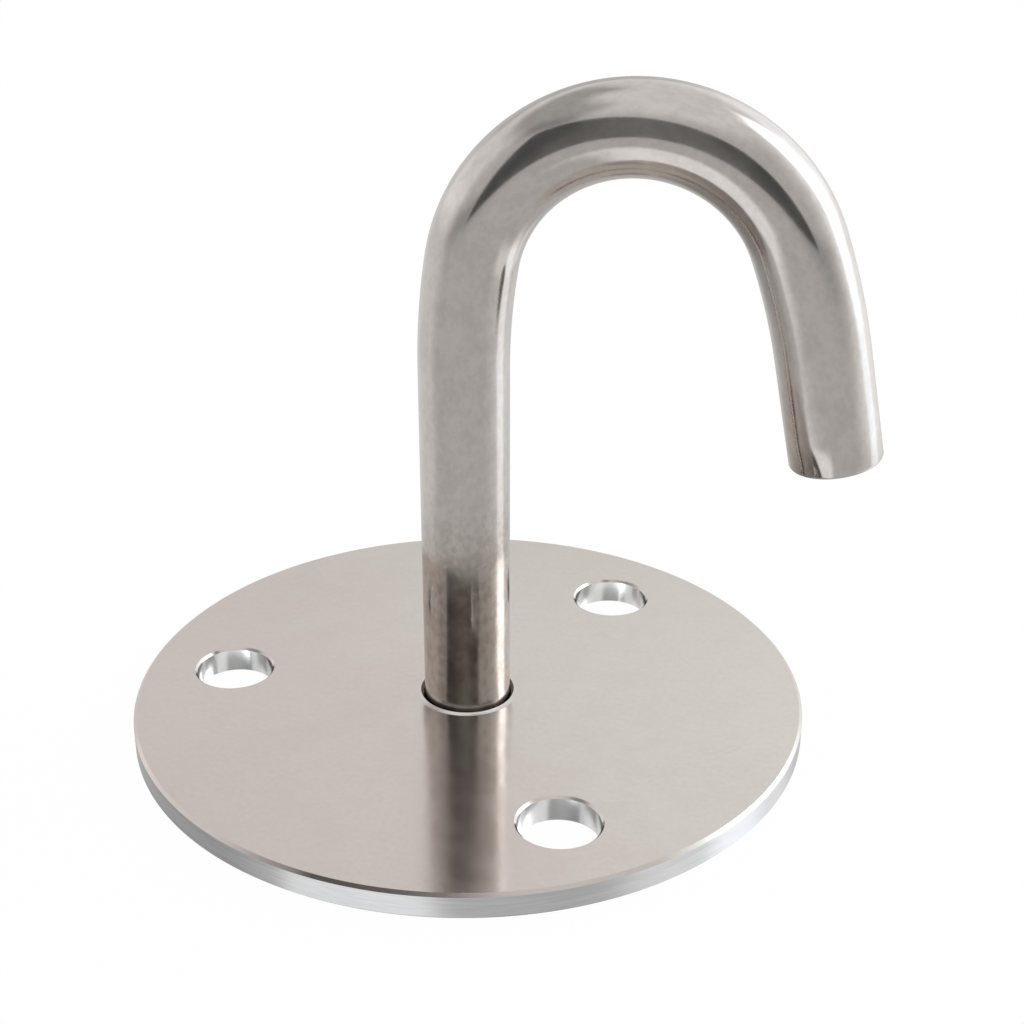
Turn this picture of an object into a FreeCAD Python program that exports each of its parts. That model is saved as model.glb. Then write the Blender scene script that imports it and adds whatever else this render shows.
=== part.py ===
"""Ceiling hook in stainless steel: a round plate with three screw holes, and a bar bent into an open hook.

The bar stands in a hole at the plate's centre and is held there by a groove weld on the back, which stays
below the back face so that the plate beds flat on the ceiling.

Frame: the origin is the centre of the plate's back face. +Z runs from that face along the stem, away from
the ceiling. +X is the side that the hook bends over to. The part is the same on both sides of the XZ plane.
Lengths are in millimetres and angles in degrees.
"""

import FreeCAD, Part

import math
import os

# Plate
plate_diameter = 78.0
plate_thickness = 3.0
rim_front_chamfer = 0.35
rim_back_chamfer = 0.2

# Screw holes: one lies opposite to the hook's opening, the others 120 degrees to each side
screw_hole_diameter = 9.0
screw_hole_inset = 10.5
screw_hole_count = 3
first_screw_hole_angle = 180.0
screw_hole_front_chamfer = 0.25

# Bar, from the plate's front face to the tip: stem, shoulder, crown, shoulder, leg
bar_diameter = 10.0
stem_length = 40.5
shoulder_bend_radius = 75.0
shoulder_bend_angle = 9.3
crown_inner_diameter = 25.0
crown_bend_angle = 150.5
leg_length = 12.0
tip_round = 0.5

# The bar's seat in the plate, and the weld that holds it
bar_hole_clearance = 0.12
bar_hole_front_chamfer = 0.35
groove_depth = 1.5
bar_end_recess = 0.35
weld_crown = 0.2

Y_AXIS = FreeCAD.Vector(0, 1, 0)
Z_AXIS = FreeCAD.Vector(0, 0, 1)
ORIGIN = FreeCAD.Vector(0, 0, 0)

plate_radius = plate_diameter / 2
bar_radius = bar_diameter / 2
bar_hole_radius = bar_radius + bar_hole_clearance
bar_bevel = groove_depth - bar_end_recess
screw_hole_circle_radius = plate_radius - screw_hole_inset
crown_bend_radius = crown_inner_diameter / 2 + bar_radius


def turned(outline):
    """A solid turned about Z from a closed outline, given as edges in the XZ plane."""
    return Part.Face(Part.Wire(outline)).revolve(ORIGIN, Z_AXIS, 360)


def point(radius, height):
    return FreeCAD.Vector(radius, 0, height)


def polygon_edges(points):
    """Straight edges from each point to the next."""
    return [Part.makeLine(a, b) for a, b in zip(points, points[1:])]


def circular_edges(shape, radius, height):
    """The full circles of that radius which lie at that height."""
    found = []
    for edge in shape.Edges:
        curve = edge.Curve
        if not isinstance(curve, Part.Circle):
            continue
        if abs(curve.Radius - radius) < 1e-6 and abs(curve.Center.z - height) < 1e-6:
            found.append(edge)
    return found


def screw_hole_centres():
    """Where the screw holes' axes cross the back face."""
    step = 2 * math.pi / screw_hole_count
    start = math.radians(first_screw_hole_angle)
    angles = [start + index * step for index in range(screw_hole_count)]
    reach = screw_hole_circle_radius
    return [FreeCAD.Vector(reach * math.cos(a), reach * math.sin(a), 0) for a in angles]


def make_mounting_plate():
    """Flat disc with its holes, its edges broken, and the weld groove sunk into the back."""
    plate = Part.makeCylinder(plate_radius, plate_thickness)
    plate = plate.cut(Part.makeCylinder(bar_hole_radius, plate_thickness))
    for centre in screw_hole_centres():
        plate = plate.cut(Part.makeCylinder(screw_hole_diameter / 2, plate_thickness, centre))

    front_rim = circular_edges(plate, plate_radius, plate_thickness)
    plate = plate.makeChamfer(rim_front_chamfer, front_rim)
    plate = plate.makeChamfer(rim_back_chamfer, circular_edges(plate, plate_radius, 0))
    screw_hole_edges = circular_edges(plate, screw_hole_diameter / 2, plate_thickness)
    plate = plate.makeChamfer(screw_hole_front_chamfer, screw_hole_edges)
    bar_hole_edges = circular_edges(plate, bar_hole_radius, plate_thickness)
    plate = plate.makeChamfer(bar_hole_front_chamfer, bar_hole_edges)

    groove = Part.makeCone(bar_hole_radius + groove_depth, bar_hole_radius, groove_depth)
    return plate.cut(groove)


def bent_bar(start, heading, sections):
    """Round bar in the XZ plane, made of straight and bent sections that follow each other.

    A section is (length, 0, 0) where straight, or (0, radius, angle) where bent towards +X.
    Gives the solid, the far end's centre and the heading there.
    """
    profile = Part.Face(Part.Wire(Part.makeCircle(bar_radius, start, heading)))
    pieces = []
    for length, radius, angle in sections:
        if radius:
            centre = start + heading.cross(Y_AXIS).multiply(-radius)
            pieces.append(profile.revolve(centre, Y_AXIS, angle))
            turn = FreeCAD.Placement(ORIGIN, FreeCAD.Rotation(Y_AXIS, angle), centre)
        else:
            pieces.append(profile.extrude(heading * length))
            turn = FreeCAD.Placement(heading * length, FreeCAD.Rotation())
        start = turn.multVec(start)
        heading = turn.Rotation.multVec(heading)
        profile = Part.Face(Part.Wire(Part.makeCircle(bar_radius, start, heading)))
    return pieces[0].multiFuse(pieces[1:]).removeSplitter(), start, heading


def make_hook_bar():
    """The bar, from its bevelled end inside the weld to its rounded tip."""
    root = Part.makeCone(bar_radius - bar_bevel, bar_radius, bar_bevel, point(0, bar_end_recess))
    stem = plate_thickness - groove_depth + stem_length
    bar, tip, heading = bent_bar(
        point(0, groove_depth),
        Z_AXIS,
        [
            (stem, 0, 0),
            (0, shoulder_bend_radius, shoulder_bend_angle),
            (0, crown_bend_radius, crown_bend_angle),
            (0, shoulder_bend_radius, shoulder_bend_angle),
            (leg_length, 0, 0),
        ],
    )
    tip_edges = [
        edge
        for edge in bar.Edges
        if isinstance(edge.Curve, Part.Circle) and edge.Curve.Center.distanceToPoint(tip) < 1e-6
    ]
    bar = bar.makeFillet(tip_round, tip_edges)
    return bar.fuse(root).removeSplitter()


def make_back_weld():
    """Bead that fills the groove between the plate and the bar's bevel, with a low crown."""
    face_height = bar_end_recess
    inner = point(bar_radius - bar_bevel, face_height)
    outer = point(bar_hole_radius + groove_depth - face_height, face_height)
    crest = point((inner.x + outer.x) / 2, face_height - weld_crown)
    sides = polygon_edges(
        [
            inner,
            point(bar_radius, groove_depth),
            point(bar_hole_radius, groove_depth),
            outer,
        ]
    )
    bead_face = Part.Arc(outer, crest, inner).toShape()
    return turned(sides + [bead_face])


def main():
    os.makedirs("parts", exist_ok=True)
    pieces = {
        "mounting_plate": make_mounting_plate(),
        "hook_bar": make_hook_bar(),
        "back_weld": make_back_weld(),
    }
    for name, piece in pieces.items():
        (solid,) = piece.Solids
        solid.exportStep(f"parts/{name}.step")


main()
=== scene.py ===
"""Looks of a stainless ceiling hook: a bent round bar in a round plate with three screw holes.

The origin is the centre of the plate's back face, +Z runs along the stem and +X to the side that the hook
bends over to. Lengths are in metres and angles in degrees unless a name says otherwise.
"""

import math

import bpy
from mathutils import Matrix, Quaternion, Vector


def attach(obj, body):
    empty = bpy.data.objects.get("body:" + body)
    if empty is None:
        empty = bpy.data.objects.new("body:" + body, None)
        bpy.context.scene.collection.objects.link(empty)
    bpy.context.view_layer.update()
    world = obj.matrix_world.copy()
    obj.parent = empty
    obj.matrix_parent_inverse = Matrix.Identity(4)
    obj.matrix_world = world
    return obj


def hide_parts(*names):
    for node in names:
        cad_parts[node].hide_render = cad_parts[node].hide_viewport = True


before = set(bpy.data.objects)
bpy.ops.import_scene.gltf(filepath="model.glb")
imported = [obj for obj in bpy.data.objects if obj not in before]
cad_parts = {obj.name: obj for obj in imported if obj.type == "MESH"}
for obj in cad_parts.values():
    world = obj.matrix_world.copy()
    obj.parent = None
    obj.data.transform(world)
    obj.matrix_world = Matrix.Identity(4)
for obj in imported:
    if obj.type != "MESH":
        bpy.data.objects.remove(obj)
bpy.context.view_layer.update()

MM = 0.001

# Plate
PLATE_RADIUS = 39.0 * MM
PLATE_THICKNESS = 3.0 * MM
PLATE_SIDES = 288
SCREW_HOLE_COUNT = 3
SCREW_HOLE_RADIUS = 4.5 * MM
SCREW_HOLE_CIRCLE_RADIUS = 28.5 * MM
FIRST_SCREW_HOLE_ANGLE = 180.0
SCREW_HOLE_SIDES = 96
BAR_HOLE_RADIUS = 5.12 * MM
BAR_HOLE_SIDES = 120
GROOVE_DEPTH = 1.5 * MM

# Chamfers: their width on the rim's front edge and on the bar's hole, the share of it that the rim's back
# edge and the screw holes have, and the angle above which an edge counts as a corner
RIM_CHAMFER = 0.35 * MM
RIM_BACK_SHARE = 0.55
SCREW_HOLE_SHARE = 0.75
CORNER_ANGLE = 60.0

# A face is upright where the Z of its normal is below the first of these, and level above the second.
# Faces are shaded smoothly where they meet at less than the angle.
UPRIGHT_BELOW = 0.3
LEVEL_ABOVE = 0.95
SMOOTH_ANGLE = 30.0

# Weld bead on the back: from the bar's bevelled end out to the groove's wall. Of the points across, its
# face has the face share and the two slopes behind it have the rest. A ripple lags at the face's sides.
BEAD_CROWN = 0.19 * MM
BEAD_POINTS_AROUND = 552
BEAD_POINTS_ACROSS = 41
BEAD_FACE_SHARE = 0.6
BEAD_RIPPLE_COUNT = 46
BEAD_RIPPLE_SHARE = 0.45
BEAD_RIPPLE_LAG = 0.9
BEAD_MERGE_DISTANCE = 0.001 * MM

# Bar
BAR_RADIUS = 5.0 * MM
BAR_SIDES = 128
BAR_RINGS = 260
BAR_END_HEIGHT = 0.35 * MM
STEM_TOP = 43.5 * MM
SHOULDER_RADIUS = 75.0 * MM
SHOULDER_ANGLE = 9.3
CROWN_RADIUS = 17.5 * MM
CROWN_ANGLE = 150.5
LEG_LENGTH = 12.0 * MM
TIP_ROUND = 0.5 * MM
TIP_RINGS = 8

# Steel: the spans of noise over which mill marks, and the blots in them, go from dark to light. Then for
# each steel its tones on dark and on light marks, its roughness on dark and on light blots, the depth of its
# grain, and how its marks are scaled along X, Y and Z.
NO_TINT = (1.0, 1.0, 1.0)
NOISE_ROUGHNESS = 0.6
MARK_SPAN = (0.36, 0.64)
BLOT_SPAN = (0.3, 0.7)
PLATE_TONES = ((0.596, 0.549, 0.515), (0.622, 0.574, 0.538))
PLATE_ROUGHNESS = (0.13, 0.17)
PLATE_GRAIN_DEPTH = 0.0006 * MM
PLATE_METALLIC = 0.975
BAR_TONES = ((0.525, 0.490, 0.461), (0.585, 0.552, 0.521))
BAR_ROUGHNESS = (0.105, 0.15)
BAR_GRAIN_DEPTH = 0.0014 * MM
BAR_STRETCH = (1.0, 1.0, 0.7)
RIM_TONES = ((0.56, 0.56, 0.56), (0.64, 0.64, 0.64))
RIM_ROUGHNESS = (0.14, 0.22)
RIM_GRAIN_DEPTH = 0.001 * MM
RIM_STRETCH = (0.06, 0.06, 1.0)
WELD_TONES = ((0.42, 0.37, 0.33), (0.56, 0.53, 0.50))
WELD_ROUGHNESS = (0.20, 0.32)
WELD_GRAIN_DEPTH = 0.002 * MM
DRILLED_TONE = (0.95, 0.95, 0.945)
DRILLED_ROUGHNESS = 0.17

# Slow drift of the plate's tone along a heading, with clouds of that size that shift it back and forth
DRIFT_HEADING = (0.8, 0.6, 0.0)
DRIFT_SPAN = (2 * MM, 26 * MM)
DRIFT_TONES = ((0.99, 0.96, 0.965), (1.02, 1.04, 1.035))
DRIFT_CLOUD_SIZE = 16 * MM
DRIFT_CLOUD_SHIFT = 30 * MM

# Painted highlight in a ring on the plate round the bar: it slopes down outwards, fades over the last part
# of its width and shows most on the side toward the camera
BRIGHT_RING_WIDTH = 0.7 * MM
BRIGHT_RING_FADE_FROM = 0.2
BRIGHT_RING_SLOPE = 32.0
HIGHLIGHT_RING_SIDE = (0.18, -0.98, 0.0)
HIGHLIGHT_RING_SIDE_SPAN = (0.3, 0.97)
HIGHLIGHT_RING_SIDE_LEVELS = (0.05, 0.85)
HIGHLIGHT_RING_TONE = (0.88, 0.875, 0.87)
BRIGHT_RING_ROUGHNESS = 0.35

# Painted reflection of shade on the stem, standing in for the darker table near the plate: a brown tint,
# whole up to the first height and gone at the second, weaker on light marks, and a little rougher
SHADE_REFLECTION_TINT_HEIGHTS = (21.0 * MM, 31.0 * MM)
SHADE_REFLECTION_TINT = (0.81, 0.77, 0.74)
SHADE_REFLECTION_MARK_SPAN = (0.0, 0.85)
SHADE_REFLECTION_MARK_LEVELS = (1.0, 0.45)
SHADE_REFLECTION_ROUGHNESS = 0.03

# Painted shade on the bar just over the plate's front face, where it sits in the hole: whole up to the
# first height and gone at the second
FOOT_SHADE_HEIGHTS = (0.1 * MM, 0.45 * MM)
FOOT_PAINTED_SHADE = (0.32, 0.30, 0.29)

# Camera: where it stands as seen from the origin, how it is turned from there, and its lens
CAMERA_DISTANCE = 218.75 * MM
CAMERA_AZIMUTH = 10.56
CAMERA_ELEVATION = 32.40
CAMERA_YAW = 0.10
CAMERA_PITCH = 5.29
CAMERA_ROLL = 0.65
CAMERA_LENS_MM = 64.43
CAMERA_SENSOR_MM = 36.0
CAMERA_SHIFT = (0.0483, 0.0269)

# Light tent: its brightness above and below the horizon, where that lies, the half width of the change, and
# the least brightness anywhere. Between two levels of brightness its light turns cool.
TENT_ABOVE = 0.95
TENT_BELOW = 0.64
TENT_HORIZON = 3.0
TENT_BLEND = 6.0
TENT_DARKEST = 0.03
COOL_FROM, COOL_TO = 1.0, 1.8
COOL_LIGHT = (0.94, 0.99, 1.05)

# What stands out in the tent. Each patch: azimuth, inner and outer half width, lower edge and its softness,
# upper edge and its softness, and what it adds to the brightness.
TENT_PATCHES = {
    "dim front": (8, 66, 90, -4, 8, 46, 13, -0.28),
    "dark side high left": (-94, 50, 74, 38, 6, 68, 6, -0.42),
    "dark side far left": (-160, 20, 38, 2, 6, 25, 5, -0.32),
    "right softbox": (123, 0, 70, -24, 12, 40, 9, 0.75),
    "right strip low": (113, 8, 17, -48, 8, 2, 14, 0.45),
    "right strip high": (114, 9, 21, 2, 14, 52, 8, 2.4),
    "front table light": (-28, 22, 32, -75, 6, -31, 4, 0.55),
    "right table light": (108, 32, 56, -44, 5, -30, 3, 0.42),
    "left tent side": (-112, 25, 57, -28, 3, 15, 12, 0.24),
    "dark side low left": (-114, 30, 55, -70, 6, -33, 8, -0.28),
}

# Table: its own tone and white, and what the metal sees of it under the plate: a dull mirror, which has
# painted shade from afar, and its own tone with some painted light, a white glow, for the screw holes'
# walls, whose rays are shorter than the reach
TABLE_HALF_WIDTH = 1500 * MM
TABLE_HEIGHT = -0.05 * MM
TABLE_TONE = (0.9, 0.9, 0.9)
TABLE_ROUGHNESS = 0.9
TABLE_OWN_WHITE = 0.98
TABLE_SHADED_TONE_FROM_AFAR = (0.42, 0.42, 0.42)
TABLE_TONE_IN_HOLES = (0.9, 0.9, 0.9)
TABLE_GLOSS_ROUGHNESS = 0.2
TABLE_PAINTED_LIGHT_IN_HOLES = 0.14
HOLE_REACH = 9.0 * MM

# Dark gap between the tent's cloths in front, where the camera stands: its Y, its corners' X and Z, its
# brightness, and the lighter place in it
GAP_Y = -182 * MM
GAP_CORNERS = (
    (-140 * MM, 45 * MM),
    (230 * MM, 52 * MM),
    (120 * MM, 168 * MM),
    (-200 * MM, 268 * MM),
)
GAP_BRIGHTNESS = 0.11
GAP_LIGHT_X = 12 * MM
GAP_LIGHT_HALF_WIDTH = 110 * MM
GAP_LIGHT_BRIGHTNESS = 0.23

WHITE = (1.0, 1.0, 1.0, 1.0)


def node(tree, kind, inputs=None, **settings):
    """A node with its settings and its inputs: a socket is linked, anything else is set."""
    made = tree.nodes.new(kind)
    for key, value in settings.items():
        setattr(made, key, value)
    for key, value in (inputs or {}).items():
        if isinstance(value, bpy.types.NodeSocket):
            tree.links.new(value, made.inputs[key])
        else:
            made.inputs[key].default_value = value
    return made


def calc(tree, operation, first, second=0.0, third=0.0):
    """The result of a Math node."""
    inputs = {0: first, 1: second, 2: third}
    return node(tree, "ShaderNodeMath", inputs, operation=operation).outputs[0]


def ease(tree, value, low, high, first=0.0, last=1.0):
    """Goes smoothly from the first to the last level as the value goes from low to high."""
    made = node(
        tree,
        "ShaderNodeMapRange",
        {"Value": value, "From Min": low, "From Max": high, "To Min": first, "To Max": last},
        interpolation_type="SMOOTHSTEP",
    )
    return made.outputs["Result"]


def clamped(tree, value, low, high):
    return calc(tree, "MINIMUM", calc(tree, "MAXIMUM", value, low), high)


def vector_calc(tree, operation, first, second=(0.0, 0.0, 0.0)):
    """The result of a Vector Math node."""
    made = node(tree, "ShaderNodeVectorMath", {0: first, 1: second}, operation=operation)
    return made.outputs["Value" if operation in ("DOT_PRODUCT", "LENGTH") else "Vector"]


def xyz(tree, x=0.0, y=0.0, z=0.0):
    return node(tree, "ShaderNodeCombineXYZ", {"X": x, "Y": y, "Z": z}).outputs[0]


def parts_of(tree, vector):
    """The X, Y and Z of a vector."""
    return node(tree, "ShaderNodeSeparateXYZ", {0: vector}).outputs


def point_parts(tree):
    """The X, Y and Z of a mesh's points, in a geometry node tree."""
    return parts_of(tree, node(tree, "GeometryNodeInputPosition").outputs[0])


def shape_tree(name, values):
    """A geometry node tree with those named inputs; gives the tree, its inputs and the node at its end."""
    tree = bpy.data.node_groups.new(name, "GeometryNodeTree")
    tree.interface.new_socket("Geometry", in_out="INPUT", socket_type="NodeSocketGeometry")
    for label, value in values.items():
        if isinstance(value, bpy.types.Material):
            kind = "NodeSocketMaterial"
        elif isinstance(value, int):
            kind = "NodeSocketInt"
        else:
            kind = "NodeSocketFloat"
        tree.interface.new_socket(label, in_out="INPUT", socket_type=kind).default_value = value
    tree.interface.new_socket("Geometry", in_out="OUTPUT", socket_type="NodeSocketGeometry")
    start = tree.nodes.new("NodeGroupInput")
    end = tree.nodes.new("NodeGroupOutput")
    return tree, start.outputs, end


def finish_tree(tree, end, geometry, material, others=()):
    """Ends a tree with real geometry and its material, and with other materials on chosen faces."""
    real = node(tree, "GeometryNodeRealizeInstances", {"Geometry": geometry}).outputs["Geometry"]
    finished = node(tree, "GeometryNodeSetMaterial", {"Geometry": real, "Material": material})
    for other, faces in others:
        finished = node(
            tree,
            "GeometryNodeSetMaterial",
            {"Geometry": finished.outputs["Geometry"], "Selection": faces, "Material": other},
        )
    tree.links.new(finished.outputs["Geometry"], end.inputs["Geometry"])


def made_by(tree, name, chamfer=None):
    """A plain mesh object at the origin, made by a geometry node tree and flat chamfers by edge weight.

    A tree's mesh has an empty first material slot, which goes. The chamfers then take the first material.
    """
    holder = bpy.data.objects.new(name + "_maker", bpy.data.meshes.new(name + "_maker"))
    bpy.context.scene.collection.objects.link(holder)
    holder.modifiers.new("Shape", "NODES").node_group = tree
    if chamfer:
        edges = holder.modifiers.new("Chamfers", "BEVEL")
        edges.width = chamfer
        edges.segments = 1
        edges.limit_method = "WEIGHT"
        edges.use_clamp_overlap = False
    depsgraph = bpy.context.evaluated_depsgraph_get()
    mesh = bpy.data.meshes.new_from_object(holder.evaluated_get(depsgraph), depsgraph=depsgraph)
    bpy.data.objects.remove(holder)
    mesh.materials.pop(index=0)
    mesh.set_sharp_from_angle(angle=math.radians(SMOOTH_ANGLE))
    for face in mesh.polygons:
        if UPRIGHT_BELOW < abs(face.normal.z) < LEVEL_ABOVE:
            face.material_index = 0
    piece = bpy.data.objects.new(name, mesh)
    bpy.context.scene.collection.objects.link(piece)
    return piece


def cylinder(tree, radius, depth, vertices, height=0.0, side_segments=1):
    """A cylinder whose lower end stands at that height."""
    made = node(
        tree,
        "GeometryNodeMeshCylinder",
        {"Vertices": vertices, "Side Segments": side_segments, "Radius": radius, "Depth": depth},
    )
    lift = calc(tree, "MULTIPLY_ADD", depth, 0.5, height)
    moved = node(
        tree,
        "GeometryNodeTransform",
        {"Geometry": made.outputs["Mesh"], "Translation": xyz(tree, z=lift)},
    )
    return moved.outputs["Geometry"]


def cut_away(tree, body, tool):
    """The body without the tool's volume."""
    made = node(
        tree,
        "GeometryNodeMeshBoolean",
        {"Mesh 1": body, "Mesh 2": tool},
        operation="DIFFERENCE",
        solver="EXACT",
    )
    return made.outputs["Mesh"]


def drilled_plate_tree(steel, cut_steel, rim_steel):
    """Round disc with a ring of screw holes, the bar's hole and the weld groove round it."""
    tree, given, end = shape_tree(
        "Drilled plate",
        {
            "Plate radius": PLATE_RADIUS,
            "Thickness": PLATE_THICKNESS,
            "Screw hole count": SCREW_HOLE_COUNT,
            "Screw hole radius": SCREW_HOLE_RADIUS,
            "Hole circle radius": SCREW_HOLE_CIRCLE_RADIUS,
            "First hole angle": math.radians(FIRST_SCREW_HOLE_ANGLE),
            "Bar hole radius": BAR_HOLE_RADIUS,
            "Groove depth": GROOVE_DEPTH,
            "Rim back share": RIM_BACK_SHARE,
            "Screw hole share": SCREW_HOLE_SHARE,
            "Steel": steel,
            "Cut steel": cut_steel,
            "Rim steel": rim_steel,
        },
    )
    thickness = given["Thickness"]
    long_cut = calc(tree, "MULTIPLY", thickness, 3.0)
    below = calc(tree, "MULTIPLY", thickness, -1.0)

    disc = cylinder(tree, given["Plate radius"], thickness, PLATE_SIDES)
    screw_cut = cylinder(tree, given["Screw hole radius"], long_cut, SCREW_HOLE_SIDES, below)
    ring = node(
        tree,
        "GeometryNodeMeshCircle",
        {"Vertices": given["Screw hole count"], "Radius": given["Hole circle radius"]},
    )
    turned_ring = node(
        tree,
        "GeometryNodeTransform",
        {"Geometry": ring.outputs["Mesh"], "Rotation": xyz(tree, z=given["First hole angle"])},
    )
    screw_cuts = node(
        tree,
        "GeometryNodeInstanceOnPoints",
        {"Points": turned_ring.outputs["Geometry"], "Instance": screw_cut},
    )
    bar_cut = cylinder(tree, given["Bar hole radius"], long_cut, BAR_HOLE_SIDES, below)
    groove = node(
        tree,
        "GeometryNodeMeshCone",
        {
            "Vertices": BAR_HOLE_SIDES,
            "Radius Top": given["Bar hole radius"],
            "Radius Bottom": calc(tree, "ADD", given["Bar hole radius"], given["Groove depth"]),
            "Depth": given["Groove depth"],
        },
    )
    cuts = node(tree, "GeometryNodeJoinGeometry")
    for cut in (screw_cuts.outputs["Instances"], bar_cut):
        tree.links.new(cut, cuts.inputs["Geometry"])
    real_cuts = node(tree, "GeometryNodeRealizeInstances", {"Geometry": cuts.outputs["Geometry"]})
    drilled = cut_away(tree, disc, real_cuts.outputs["Geometry"])
    grooved = cut_away(tree, drilled, groove.outputs["Mesh"])

    # Chamfered edges are found by their distance from the axis and their height, with a little slack
    place = point_parts(tree)
    reach = vector_calc(tree, "LENGTH", xyz(tree, place["X"], place["Y"]))
    turn = node(tree, "GeometryNodeInputMeshEdgeAngle").outputs["Unsigned Angle"]
    is_corner = calc(tree, "GREATER_THAN", turn, math.radians(CORNER_ANGLE))
    rim_from = calc(tree, "MULTIPLY", given["Plate radius"], 0.99)
    near_rim = calc(tree, "GREATER_THAN", reach, rim_from)
    bar_hole_to = calc(tree, "MULTIPLY", given["Bar hole radius"], 1.05)
    near_bar = calc(tree, "LESS_THAN", reach, bar_hole_to)
    front_from = calc(tree, "MULTIPLY", thickness, 0.95)
    at_front = calc(tree, "GREATER_THAN", place["Z"], front_from)
    at_back = calc(tree, "SUBTRACT", 1.0, at_front)
    whole = calc(tree, "MAXIMUM", near_rim, near_bar)
    at_holes = calc(tree, "SUBTRACT", 1.0, whole)
    hole_weight = calc(tree, "MULTIPLY", given["Screw hole share"], at_holes)
    front_weight = calc(tree, "MAXIMUM", whole, hole_weight)
    back_weight = calc(tree, "MULTIPLY", near_rim, given["Rim back share"])
    weight = calc(
        tree,
        "ADD",
        calc(tree, "MULTIPLY", at_front, front_weight),
        calc(tree, "MULTIPLY", at_back, back_weight),
    )
    weighted = node(
        tree,
        "GeometryNodeStoreNamedAttribute",
        {
            "Geometry": grooved,
            "Name": "bevel_weight_edge",
            "Value": calc(tree, "MULTIPLY", weight, is_corner),
        },
        data_type="FLOAT",
        domain="EDGE",
    )

    facing = parts_of(tree, node(tree, "GeometryNodeInputNormal").outputs["Normal"])
    upright = calc(tree, "LESS_THAN", calc(tree, "ABSOLUTE", facing["Z"]), UPRIGHT_BELOW)
    off_circle = calc(tree, "SUBTRACT", reach, given["Hole circle radius"])
    off_circle = calc(tree, "ABSOLUTE", off_circle)
    hole_to = calc(tree, "MULTIPLY", given["Screw hole radius"], 1.1)
    at_screws = calc(tree, "LESS_THAN", off_circle, hole_to)
    finish_tree(
        tree,
        end,
        weighted.outputs["Geometry"],
        given["Steel"],
        (
            (given["Cut steel"], calc(tree, "MULTIPLY", upright, at_screws)),
            (given["Rim steel"], calc(tree, "MULTIPLY", upright, near_rim)),
        ),
    )
    return tree


def bend_group():
    """Bends a bar that stands along Z over to +X, from a start height, by a radius and an angle.

    What lies past the bend turns with it. Heights are those of the straight bar, kept as an attribute.
    """
    tree, given, end = shape_tree("Bend bar", {"Start": 0.0, "Radius": 1.0, "Angle": 0.0})
    straight = node(
        tree,
        "GeometryNodeInputNamedAttribute",
        {"Name": "straight"},
        data_type="FLOAT_VECTOR",
    )
    height = parts_of(tree, straight.outputs["Attribute"])["Z"]
    past_start = calc(tree, "MAXIMUM", calc(tree, "SUBTRACT", height, given["Start"]), 0.0)
    whole_arc = calc(tree, "MULTIPLY", given["Radius"], given["Angle"])
    arc = calc(tree, "MINIMUM", past_start, whole_arc)
    position = node(tree, "GeometryNodeInputPosition").outputs[0]
    turned = node(
        tree,
        "ShaderNodeVectorRotate",
        {
            "Vector": vector_calc(tree, "SUBTRACT", position, xyz(tree, z=arc)),
            "Center": xyz(tree, x=given["Radius"], z=given["Start"]),
            "Angle": calc(tree, "DIVIDE", arc, given["Radius"]),
        },
        rotation_type="Y_AXIS",
    )
    bent = node(
        tree,
        "GeometryNodeSetPosition",
        {"Geometry": given["Geometry"], "Position": turned.outputs["Vector"]},
    )
    tree.links.new(bent.outputs["Geometry"], end.inputs["Geometry"])
    return tree


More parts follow.
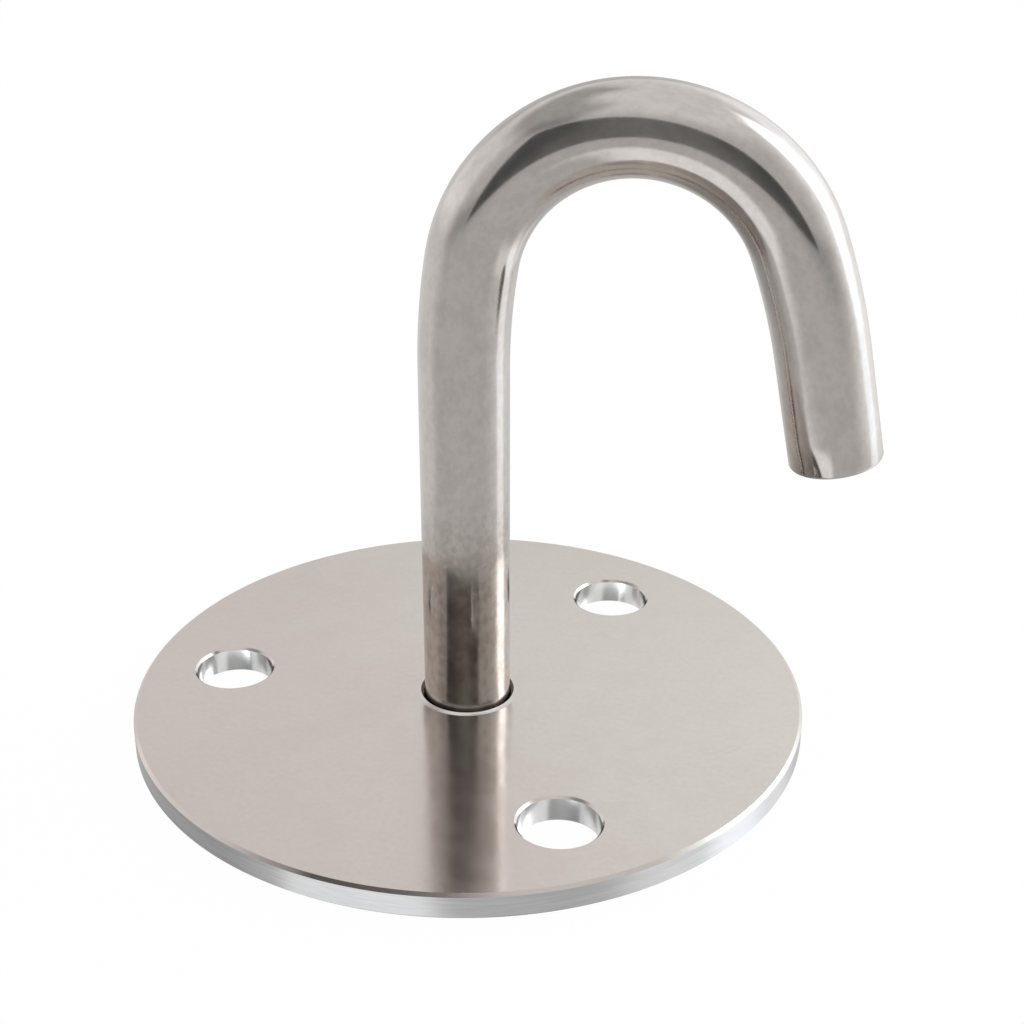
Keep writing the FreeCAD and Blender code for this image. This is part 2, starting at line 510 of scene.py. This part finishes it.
def bent_bar_tree(steel):
    """Round bar, cut to length, bevelled at its root and rounded at its tip, then bent from the tip back."""
    tree, given, end = shape_tree(
        "Bent bar",
        {
            "Bar radius": BAR_RADIUS,
            "Root height": BAR_END_HEIGHT,
            "Bevel top": GROOVE_DEPTH,
            "Stem top": STEM_TOP,
            "Shoulder radius": SHOULDER_RADIUS,
            "Shoulder angle": math.radians(SHOULDER_ANGLE),
            "Crown radius": CROWN_RADIUS,
            "Crown angle": math.radians(CROWN_ANGLE),
            "Leg length": LEG_LENGTH,
            "Tip round": TIP_ROUND,
            "Steel": steel,
        },
    )
    shoulder = calc(tree, "MULTIPLY", given["Shoulder radius"], given["Shoulder angle"])
    crown = calc(tree, "MULTIPLY", given["Crown radius"], given["Crown angle"])
    crown_start = calc(tree, "ADD", given["Stem top"], shoulder)
    second_start = calc(tree, "ADD", crown_start, crown)
    leg_start = calc(tree, "ADD", second_start, shoulder)
    tip = calc(tree, "ADD", leg_start, given["Leg length"])
    root = given["Root height"]
    length = calc(tree, "SUBTRACT", tip, root)
    bar = cylinder(tree, given["Bar radius"], length, BAR_SIDES, root, BAR_RINGS)

    place = point_parts(tree)
    height = place["Z"]
    bevel = calc(tree, "MAXIMUM", calc(tree, "SUBTRACT", given["Bevel top"], height), 0.0)
    tip_reach = calc(tree, "MULTIPLY", length, TIP_RINGS / BAR_RINGS)
    tip_start = calc(tree, "SUBTRACT", tip, tip_reach)
    into_tip = calc(tree, "DIVIDE", calc(tree, "SUBTRACT", height, tip_start), tip_reach)
    into_tip = clamped(tree, into_tip, 0.0, 1.0)
    around = calc(tree, "MULTIPLY", into_tip, math.pi / 2)
    inward = calc(tree, "SUBTRACT", 1.0, calc(tree, "COSINE", around))
    drawn_in = calc(tree, "MULTIPLY", given["Tip round"], inward)
    slimmer = calc(tree, "ADD", bevel, drawn_in)
    share = calc(tree, "SUBTRACT", 1.0, calc(tree, "DIVIDE", slimmer, given["Bar radius"]))
    downward = calc(tree, "SUBTRACT", 1.0, calc(tree, "SINE", around))
    lowered = calc(tree, "MULTIPLY", given["Tip round"], downward)
    round_height = calc(tree, "SUBTRACT", tip, lowered)
    in_tip = calc(tree, "GREATER_THAN", into_tip, 0.5 / TIP_RINGS)
    new_height = node(
        tree,
        "ShaderNodeMix",
        {"Factor": in_tip, "A": height, "B": round_height},
        data_type="FLOAT",
    )
    new_place = xyz(
        tree,
        calc(tree, "MULTIPLY", place["X"], share),
        calc(tree, "MULTIPLY", place["Y"], share),
        new_height.outputs["Result"],
    )
    cut = node(tree, "GeometryNodeSetPosition", {"Geometry": bar, "Position": new_place})
    kept = node(
        tree,
        "GeometryNodeStoreNamedAttribute",
        {
            "Geometry": cut.outputs["Geometry"],
            "Name": "straight",
            "Value": node(tree, "GeometryNodeInputPosition").outputs[0],
        },
        data_type="FLOAT_VECTOR",
        domain="POINT",
    )
    bend = bend_group()
    geometry = kept.outputs["Geometry"]
    for start, radius, angle in (
        (second_start, given["Shoulder radius"], given["Shoulder angle"]),
        (crown_start, given["Crown radius"], given["Crown angle"]),
        (given["Stem top"], given["Shoulder radius"], given["Shoulder angle"]),
    ):
        bender = node(tree, "GeometryNodeGroup", node_tree=bend)
        values = {"Geometry": geometry, "Start": start, "Radius": radius, "Angle": angle}
        for key, value in values.items():
            tree.links.new(value, bender.inputs[key])
        geometry = bender.outputs["Geometry"]
    finish_tree(tree, end, geometry, given["Steel"])
    return tree


def weld_bead_tree(steel):
    """Ring of weld in the groove: a low crown with overlapping ripples, and the two slopes it fills behind.

    A flat sheet is rolled up: X goes round the ring, and Y across the face and then over both slopes.
    """
    tree, given, end = shape_tree(
        "Weld bead",
        {
            "Around": BEAD_POINTS_AROUND,
            "Across": BEAD_POINTS_ACROSS,
            "Edge height": BAR_END_HEIGHT,
            "Root height": GROOVE_DEPTH,
            "Bar radius": BAR_RADIUS,
            "Bar hole radius": BAR_HOLE_RADIUS,
            "Crown": BEAD_CROWN,
            "Ripple count": BEAD_RIPPLE_COUNT,
            "Ripple share": BEAD_RIPPLE_SHARE,
            "Steel": steel,
        },
    )
    hole = given["Bar hole radius"]
    slope = calc(tree, "SUBTRACT", given["Root height"], given["Edge height"])
    inner = calc(tree, "SUBTRACT", given["Bar radius"], slope)
    outer = calc(tree, "ADD", hole, slope)
    sheet = node(
        tree,
        "GeometryNodeMeshGrid",
        {
            "Size X": 1.0,
            "Size Y": 1.0,
            "Vertices X": given["Around"],
            "Vertices Y": given["Across"],
        },
    )
    place = point_parts(tree)
    turn = calc(tree, "ADD", place["X"], 0.5)
    around = calc(tree, "MULTIPLY", turn, 2 * math.pi)
    along = calc(tree, "ADD", place["Y"], 0.5)
    across = calc(tree, "MINIMUM", calc(tree, "DIVIDE", along, BEAD_FACE_SHARE), 1.0)
    past_face = calc(tree, "SUBTRACT", along, BEAD_FACE_SHARE)
    behind = calc(tree, "DIVIDE", past_face, 1.0 - BEAD_FACE_SHARE)
    behind = calc(tree, "MULTIPLY", calc(tree, "MAXIMUM", behind, 0.0), 2.0)
    to_root = calc(tree, "MINIMUM", behind, 1.0)
    from_root = calc(tree, "MAXIMUM", calc(tree, "SUBTRACT", behind, 1.0), 0.0)

    sideways = calc(tree, "MULTIPLY_ADD", across, 2.0, -1.0)
    off_middle = calc(tree, "MULTIPLY", sideways, sideways)
    bulge = calc(tree, "SUBTRACT", 1.0, off_middle)
    ripples = calc(tree, "MULTIPLY", turn, given["Ripple count"])
    phase = calc(tree, "MULTIPLY_ADD", off_middle, BEAD_RIPPLE_LAG, ripples)
    ripple = calc(tree, "POWER", calc(tree, "FRACT", phase), 2.0)
    ripple_loss = calc(tree, "MULTIPLY", ripple, given["Ripple share"])
    low_crown = calc(tree, "SUBTRACT", 1.0, ripple_loss)
    depth = calc(tree, "MULTIPLY", calc(tree, "MULTIPLY", bulge, low_crown), given["Crown"])

    reach = calc(tree, "MULTIPLY_ADD", across, calc(tree, "SUBTRACT", outer, inner), inner)
    reach = calc(tree, "MULTIPLY_ADD", to_root, calc(tree, "SUBTRACT", hole, outer), reach)
    reach = calc(tree, "MULTIPLY_ADD", from_root, calc(tree, "SUBTRACT", inner, hole), reach)
    height = calc(tree, "SUBTRACT", given["Edge height"], depth)
    height = calc(tree, "MULTIPLY_ADD", calc(tree, "SUBTRACT", to_root, from_root), slope, height)
    new_place = xyz(
        tree,
        calc(tree, "MULTIPLY", reach, calc(tree, "COSINE", around)),
        calc(tree, "MULTIPLY", reach, calc(tree, "SINE", around)),
        height,
    )
    rolled = node(
        tree,
        "GeometryNodeSetPosition",
        {"Geometry": sheet.outputs["Mesh"], "Position": new_place},
    )
    closed = node(
        tree,
        "GeometryNodeMergeByDistance",
        {"Geometry": rolled.outputs["Geometry"], "Distance": BEAD_MERGE_DISTANCE},
    )
    finish_tree(tree, end, closed.outputs["Geometry"], given["Steel"])
    return tree


def noise(tree, place, size, detail=2.0):
    """Noise whose blots are about as wide as the size, in metres."""
    made = node(
        tree,
        "ShaderNodeTexNoise",
        {"Vector": place, "Scale": 1.0 / size, "Detail": detail, "Roughness": NOISE_ROUGHNESS},
    )
    return made.outputs["Fac"]


def stretched(tree, place, scale):
    return node(tree, "ShaderNodeMapping", {"Vector": place, "Scale": scale}).outputs["Vector"]


def mixed_colour(tree, share, first, second):
    made = node(tree, "ShaderNodeMix", {"Factor": share}, data_type="RGBA")
    made.inputs["A"].default_value = (*first, 1.0)
    made.inputs["B"].default_value = (*second, 1.0)
    return made.outputs["Result"]


def steel_surface(name):
    """A metal material, its node tree and its shader."""
    material = bpy.data.materials.new(name)
    material.use_nodes = True
    surface = material.node_tree.nodes["Principled BSDF"]
    surface.inputs["Metallic"].default_value = 1.0
    return material, material.node_tree, surface


def toned(tree, colour, shade):
    """A colour multiplied by a shade."""
    made = node(tree, "ShaderNodeMix", {"Factor": 1.0}, data_type="RGBA", blend_type="MULTIPLY")
    tree.links.new(colour, made.inputs["A"])
    tree.links.new(shade, made.inputs["B"])
    return made.outputs["Result"]


def mill_marks(tree, place, blot, grain):
    """Marks that steel has from the mill: faint blots, a fine grain, and the share of both for its tone."""
    blots = noise(tree, place, blot)
    fine = noise(tree, place, grain, 3.0)
    share = calc(tree, "MULTIPLY_ADD", fine, 0.5, calc(tree, "MULTIPLY", blots, 0.5))
    return blots, fine, ease(tree, share, *MARK_SPAN)


def blotted(tree, blots, levels):
    """Goes from the first to the last level as the blots go from dark to light."""
    return ease(tree, blots, *BLOT_SPAN, *levels)


def give_finish(tree, surface, colour, roughness, height):
    """Links a colour, a roughness and a height in metres to a shader."""
    tree.links.new(colour, surface.inputs["Base Color"])
    tree.links.new(roughness, surface.inputs["Roughness"])
    bump = node(tree, "ShaderNodeBump", {"Height": height, "Strength": 1.0, "Distance": 1.0})
    tree.links.new(bump.outputs["Normal"], surface.inputs["Normal"])


def plate_steel():
    """Rolled steel, its tone drifting a little across it, with a painted highlight round the bar's hole."""
    material, tree, surface = steel_surface("rolled plate steel")
    surface.inputs["Metallic"].default_value = PLATE_METALLIC
    place = node(tree, "ShaderNodeTexCoord").outputs["Object"]
    parts = parts_of(tree, place)
    blots, fine, share = mill_marks(tree, place, 4 * MM, 0.6 * MM)
    colour = mixed_colour(tree, share, *PLATE_TONES)
    across = vector_calc(tree, "DOT_PRODUCT", place, DRIFT_HEADING)
    cloud = noise(tree, place, DRIFT_CLOUD_SIZE)
    cloud = calc(tree, "MULTIPLY_ADD", cloud, DRIFT_CLOUD_SHIFT, across)
    drift = mixed_colour(tree, ease(tree, cloud, *DRIFT_SPAN), *DRIFT_TONES)
    colour = toned(tree, colour, drift)

    reach = vector_calc(tree, "LENGTH", xyz(tree, parts["X"], parts["Y"]))
    # Painted highlight: a light ring round the bar's hole, shown most on the camera's side
    edge = BAR_HOLE_RADIUS + RIM_CHAMFER
    on_front = calc(tree, "GREATER_THAN", parts["Z"], PLATE_THICKNESS / 2)
    fade_from = edge + BRIGHT_RING_FADE_FROM * BRIGHT_RING_WIDTH
    ring = ease(tree, reach, fade_from, edge + BRIGHT_RING_WIDTH, 1.0, 0.0)
    heading = vector_calc(tree, "NORMALIZE", place)
    toward = vector_calc(tree, "DOT_PRODUCT", heading, HIGHLIGHT_RING_SIDE)
    shown = ease(tree, toward, *HIGHLIGHT_RING_SIDE_SPAN, *HIGHLIGHT_RING_SIDE_LEVELS)
    on_side = calc(tree, "MULTIPLY", on_front, shown)
    ring = calc(tree, "MULTIPLY", ring, on_side)
    highlighted = node(tree, "ShaderNodeMix", {"Factor": ring}, data_type="RGBA")
    tree.links.new(colour, highlighted.inputs["A"])
    highlighted.inputs["B"].default_value = (*HIGHLIGHT_RING_TONE, 1.0)
    roughness = node(
        tree,
        "ShaderNodeMix",
        {"Factor": ring, "A": blotted(tree, blots, PLATE_ROUGHNESS), "B": BRIGHT_RING_ROUGHNESS},
        data_type="FLOAT",
    )
    out = clamped(tree, calc(tree, "SUBTRACT", reach, edge), 0.0, BRIGHT_RING_WIDTH)
    fall = calc(tree, "MULTIPLY", out, -math.tan(math.radians(BRIGHT_RING_SLOPE)))
    fall = calc(tree, "MULTIPLY", fall, on_side)
    height = calc(tree, "MULTIPLY_ADD", fine, PLATE_GRAIN_DEPTH, fall)
    give_finish(tree, surface, highlighted.outputs["Result"], roughness.outputs["Result"], height)
    return material


def bar_steel():
    """Drawn steel, with a painted reflection of shade low on the stem and painted shade at the plate."""
    material, tree, surface = steel_surface("drawn bar steel")
    place = node(tree, "ShaderNodeAttribute", attribute_name="straight").outputs["Vector"]
    height = parts_of(tree, place)["Z"]
    blots, fine, share = mill_marks(tree, stretched(tree, place, BAR_STRETCH), 2.2 * MM, 0.7 * MM)
    colour = mixed_colour(tree, share, *BAR_TONES)
    # Painted reflection of the shaded table: a brown tint low on the stem
    reflected_shade = ease(tree, height, *SHADE_REFLECTION_TINT_HEIGHTS, 1.0, 0.0)
    patchy = calc(tree, "MULTIPLY", reflected_shade, ease(tree, share, *SHADE_REFLECTION_MARK_SPAN, *SHADE_REFLECTION_MARK_LEVELS))
    shade_reflection_colour = mixed_colour(tree, patchy, NO_TINT, SHADE_REFLECTION_TINT)
    # Painted shade at the bar's foot, where it sits in the hole's gap
    shade_low, shade_high = FOOT_SHADE_HEIGHTS
    foot_shade = ease(tree, height, PLATE_THICKNESS + shade_low, PLATE_THICKNESS + shade_high, 1.0, 0.0)
    joint_shade = mixed_colour(tree, foot_shade, NO_TINT, FOOT_PAINTED_SHADE)
    colour = toned(tree, toned(tree, colour, shade_reflection_colour), joint_shade)
    rougher = ease(tree, height, *SHADE_REFLECTION_TINT_HEIGHTS, SHADE_REFLECTION_ROUGHNESS, 0.0)
    roughness = calc(tree, "ADD", blotted(tree, blots, BAR_ROUGHNESS), rougher)
    give_finish(tree, surface, colour, roughness, calc(tree, "MULTIPLY", fine, BAR_GRAIN_DEPTH))
    return material


def rim_steel():
    """The sheet's cut rim: neutral grey, with fine streaks along it."""
    material, tree, surface = steel_surface("cut rim steel")
    place = node(tree, "ShaderNodeTexCoord").outputs["Object"]
    blots, fine, share = mill_marks(tree, stretched(tree, place, RIM_STRETCH), 1.2 * MM, 0.25 * MM)
    colour = mixed_colour(tree, share, *RIM_TONES)
    roughness = blotted(tree, blots, RIM_ROUGHNESS)
    give_finish(tree, surface, colour, roughness, calc(tree, "MULTIPLY", fine, RIM_GRAIN_DEPTH))
    return material


def cut_steel():
    """Drilled wall: bright and smooth."""
    material, tree, surface = steel_surface("drilled edge steel")
    surface.inputs["Base Color"].default_value = (*DRILLED_TONE, 1.0)
    surface.inputs["Roughness"].default_value = DRILLED_ROUGHNESS
    return material


def weld_steel():
    material, tree, surface = steel_surface("weld steel")
    place = node(tree, "ShaderNodeTexCoord").outputs["Object"]
    blots, fine, share = mill_marks(tree, place, 1.2 * MM, 0.25 * MM)
    colour = mixed_colour(tree, share, *WELD_TONES)
    roughness = blotted(tree, blots, WELD_ROUGHNESS)
    give_finish(tree, surface, colour, roughness, calc(tree, "MULTIPLY", fine, WELD_GRAIN_DEPTH))
    return material


def make_camera():
    """The camera stands on a ray from the origin, looks back along it, and is then turned three times."""
    azimuth = math.radians(CAMERA_AZIMUTH)
    elevation = math.radians(CAMERA_ELEVATION)
    back = Vector(
        (
            math.sin(azimuth) * math.cos(elevation),
            -math.cos(azimuth) * math.cos(elevation),
            math.sin(elevation),
        )
    )
    ahead = -back
    right = ahead.cross(Vector((0, 0, 1))).normalized()
    up = right.cross(ahead)
    yaw = Quaternion(up, math.radians(CAMERA_YAW))
    ahead, right = yaw @ ahead, yaw @ right
    pitch = Quaternion(right, math.radians(CAMERA_PITCH))
    ahead, up = pitch @ ahead, pitch @ up
    roll = Quaternion(ahead, math.radians(CAMERA_ROLL))
    right, up = roll @ right, roll @ up
    turned = Matrix((right, up, -ahead)).transposed().to_4x4()
    data = bpy.data.cameras.new("camera")
    data.lens = CAMERA_LENS_MM
    data.sensor_width = CAMERA_SENSOR_MM
    data.shift_x, data.shift_y = CAMERA_SHIFT
    data.clip_start = 10 * MM
    camera = bpy.data.objects.new("camera", data)
    camera.matrix_world = Matrix.Translation(back * CAMERA_DISTANCE) @ turned
    bpy.context.scene.collection.objects.link(camera)
    bpy.context.scene.camera = camera


def seen_directly(tree):
    """1 for rays that the camera sends, straight or by way of metal and glass."""
    path = node(tree, "ShaderNodeLightPath").outputs
    seen = calc(tree, "MAXIMUM", path["Is Camera Ray"], path["Is Glossy Ray"])
    return calc(tree, "MAXIMUM", seen, path["Is Transmission Ray"])


def glow(tree, strength):
    return node(tree, "ShaderNodeEmission", {"Color": WHITE, "Strength": strength}).outputs[0]


def mixed_shader(tree, share, first, second):
    return node(tree, "ShaderNodeMixShader", {0: share, 1: first, 2: second}).outputs[0]


def make_world():
    """The light tent with its patches. The camera itself sees plain white in place of it.

    Azimuth 0 is -Y and 90 is +X.
    """
    world = bpy.data.worlds.new("light tent")
    bpy.context.scene.world = world
    world.use_nodes = True
    tree = world.node_tree
    parts = parts_of(tree, node(tree, "ShaderNodeTexCoord").outputs["Generated"])
    level_heading = vector_calc(tree, "NORMALIZE", xyz(tree, parts["X"], parts["Y"]))
    elevation = calc(tree, "DEGREES", calc(tree, "ARCSINE", parts["Z"]))
    from_low, to_high = TENT_HORIZON - TENT_BLEND, TENT_HORIZON + TENT_BLEND
    level = ease(tree, elevation, from_low, to_high, TENT_BELOW, TENT_ABOVE)
    for azimuth, inner, outer, low, low_soft, high, high_soft, amount in TENT_PATCHES.values():
        a = math.radians(azimuth)
        middle = (math.sin(a), -math.cos(a), 0.0)
        cosine = vector_calc(tree, "DOT_PRODUCT", level_heading, middle)
        # A little less than the cosine, because the arc cosine has no value above 1
        off = calc(tree, "ARCCOSINE", calc(tree, "MULTIPLY", cosine, 0.99999))
        across = ease(tree, calc(tree, "DEGREES", off), inner, outer, amount, 0.0)
        rise = ease(tree, elevation, low - low_soft, low + low_soft)
        fall = ease(tree, elevation, high - high_soft, high + high_soft, 1.0, 0.0)
        level = calc(tree, "MULTIPLY_ADD", across, calc(tree, "MULTIPLY", rise, fall), level)
    level = calc(tree, "MAXIMUM", level, TENT_DARKEST)
    tent = tree.nodes["Background"]
    tree.links.new(level, tent.inputs["Strength"])
    cool = mixed_colour(tree, ease(tree, level, COOL_FROM, COOL_TO), NO_TINT, COOL_LIGHT)
    tree.links.new(cool, tent.inputs["Color"])
    white = node(tree, "ShaderNodeBackground", {"Color": WHITE, "Strength": 1.0}).outputs[0]
    camera_ray = node(tree, "ShaderNodeLightPath").outputs["Is Camera Ray"]
    mixed = mixed_shader(tree, camera_ray, tent.outputs[0], white)
    tree.links.new(mixed, tree.nodes["World Output"].inputs["Surface"])


def flat_sheet(name, corners, material):
    mesh = bpy.data.meshes.new(name)
    mesh.from_pydata(corners, [], [(0, 1, 2, 3)])
    mesh.materials.append(material)
    sheet = bpy.data.objects.new(name, mesh)
    bpy.context.scene.collection.objects.link(sheet)
    return sheet


def make_camera_gap():
    """The dark gap between the tent's cloths, which only the metal shows."""
    material = bpy.data.materials.new("dark gap")
    material.use_nodes = True
    tree = material.node_tree
    place = parts_of(tree, node(tree, "ShaderNodeTexCoord").outputs["Object"])
    off = calc(tree, "ABSOLUTE", calc(tree, "SUBTRACT", place["X"], GAP_LIGHT_X))
    level = ease(tree, off, 0.0, GAP_LIGHT_HALF_WIDTH, GAP_LIGHT_BRIGHTNESS, GAP_BRIGHTNESS)
    tree.links.new(glow(tree, level), tree.nodes["Material Output"].inputs["Surface"])
    gap = flat_sheet("camera_gap", [(x, GAP_Y, z) for x, z in GAP_CORNERS], material)
    gap.visible_camera = False
    gap.visible_diffuse = False
    gap.visible_shadow = False


def make_floor():
    """A pale table that catches the shadow. Metal sees the tent in place of it, except under the plate.

    There the table is a dull mirror, with painted shade from afar. The screw holes' walls are so near to it
    that their rays are short: at the first mirroring they see it lighter and with painted light, a white
    glow.
    """
    material = bpy.data.materials.new("white table")
    material.use_nodes = True
    tree = material.node_tree
    surface = tree.nodes["Principled BSDF"]
    surface.inputs["Base Color"].default_value = (*TABLE_TONE, 1.0)
    surface.inputs["Roughness"].default_value = TABLE_ROUGHNESS
    surface.inputs["Specular IOR Level"].default_value = 0.0
    white = glow(tree, 1.0)
    own_white = calc(tree, "MULTIPLY", seen_directly(tree), TABLE_OWN_WHITE)
    table = mixed_shader(tree, own_white, surface.outputs[0], white)

    path = node(tree, "ShaderNodeLightPath").outputs
    near = calc(tree, "LESS_THAN", path["Ray Length"], HOLE_REACH)
    first_mirroring = calc(tree, "LESS_THAN", path["Glossy Depth"], 1.5)
    from_wall = calc(tree, "MULTIPLY", near, first_mirroring)
    # Painted shade: from afar the table under the plate is darker than its own tone
    tone = mixed_colour(tree, from_wall, TABLE_SHADED_TONE_FROM_AFAR, TABLE_TONE_IN_HOLES)
    gloss = node(
        tree,
        "ShaderNodeBsdfGlossy",
        {"Color": tone, "Roughness": TABLE_GLOSS_ROUGHNESS},
    )
    # Painted light: a white glow on the table under the screw holes, seen by their walls
    lit = calc(tree, "MULTIPLY", from_wall, TABLE_PAINTED_LIGHT_IN_HOLES)
    under_plate = mixed_shader(tree, lit, gloss.outputs[0], white)
    clear = node(tree, "ShaderNodeBsdfTransparent").outputs[0]
    place = node(tree, "ShaderNodeTexCoord").outputs["Object"]
    outside = calc(tree, "GREATER_THAN", vector_calc(tree, "LENGTH", place), PLATE_RADIUS)
    mirrored = mixed_shader(tree, outside, under_plate, clear)
    mixed = mixed_shader(tree, path["Is Glossy Ray"], table, mirrored)
    tree.links.new(mixed, tree.nodes["Material Output"].inputs["Surface"])
    far, height = TABLE_HALF_WIDTH, TABLE_HEIGHT
    corners = [(-far, -far, height), (far, -far, height), (far, far, height), (-far, far, height)]
    flat_sheet("floor", corners, material)


bpy.context.scene.view_settings.view_transform = "Standard"

plate = made_by(drilled_plate_tree(plate_steel(), cut_steel(), rim_steel()), "plate", RIM_CHAMFER)
bar = made_by(bent_bar_tree(bar_steel()), "bar")
bead = made_by(weld_bead_tree(weld_steel()), "bead")
for piece, replaced, slot in (
    (plate, "mounting_plate", "plate_steel"),
    (bar, "hook_bar", "bar_steel"),
    (bead, "back_weld", "weld_steel"),
):
    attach(piece, "root")
    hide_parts(replaced)

make_camera()
make_world()
make_camera_gap()
make_floor()
